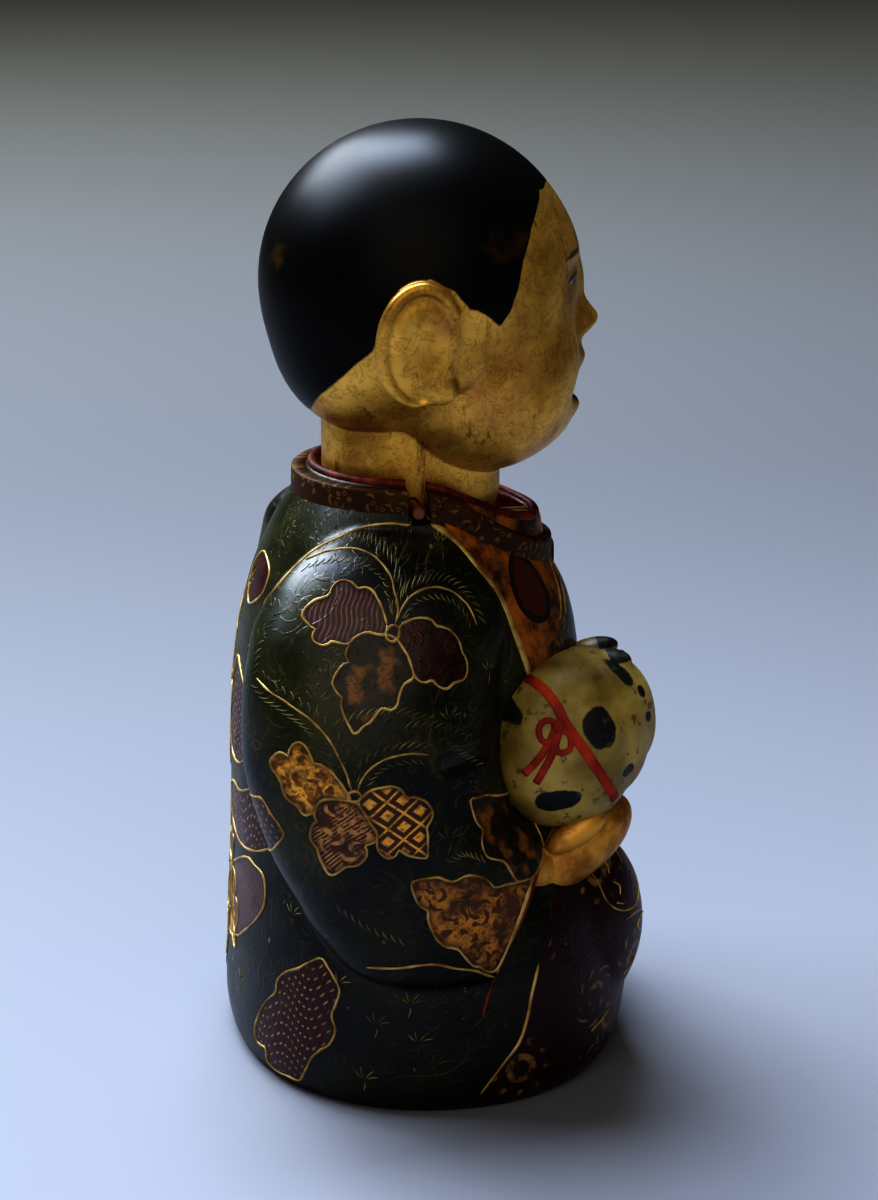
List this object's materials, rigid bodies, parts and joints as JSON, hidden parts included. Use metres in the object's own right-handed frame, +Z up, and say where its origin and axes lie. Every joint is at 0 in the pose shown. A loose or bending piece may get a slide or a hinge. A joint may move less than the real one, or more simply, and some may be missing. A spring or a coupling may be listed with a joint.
{
  "type": "nodding-head lacquered wooden doll",
  "caption": "Carved and lacquered wooden boy doll in a long-sleeved jacket, holding a spotted puppy; the gilded head and neck nod on a cross pin between the shoulders.",
  "frame": {"origin": "middle of the flat underside", "axes": "+Z up, the figure faces -Y, its right arm is on -X"},
  "size_m": [0.1262, 0.1054, 0.2377],
  "materials": {
    "lacquered_body": "green-black lacquer with raised pale gold lines, brocade patches, gilt hands and a cream puppy",
    "gilded_head": "worn gilding on the skin, glossy black lacquer hair",
    "pin_wood": "plain reddish wood"
  },
  "bodies": {
    "figure": {"body": "lacquered_body"},
    "head": {"head": "gilded_head", "neck_pin": "pin_wood"}
  },
  "joints": [
    {"name": "head_nod", "type": "hinge", "parent": "figure", "child": "head", "pos_m": [0, 0.006, 0.146], "axis": [1, 0, 0], "range_deg": [-6, 10]}
  ]
}
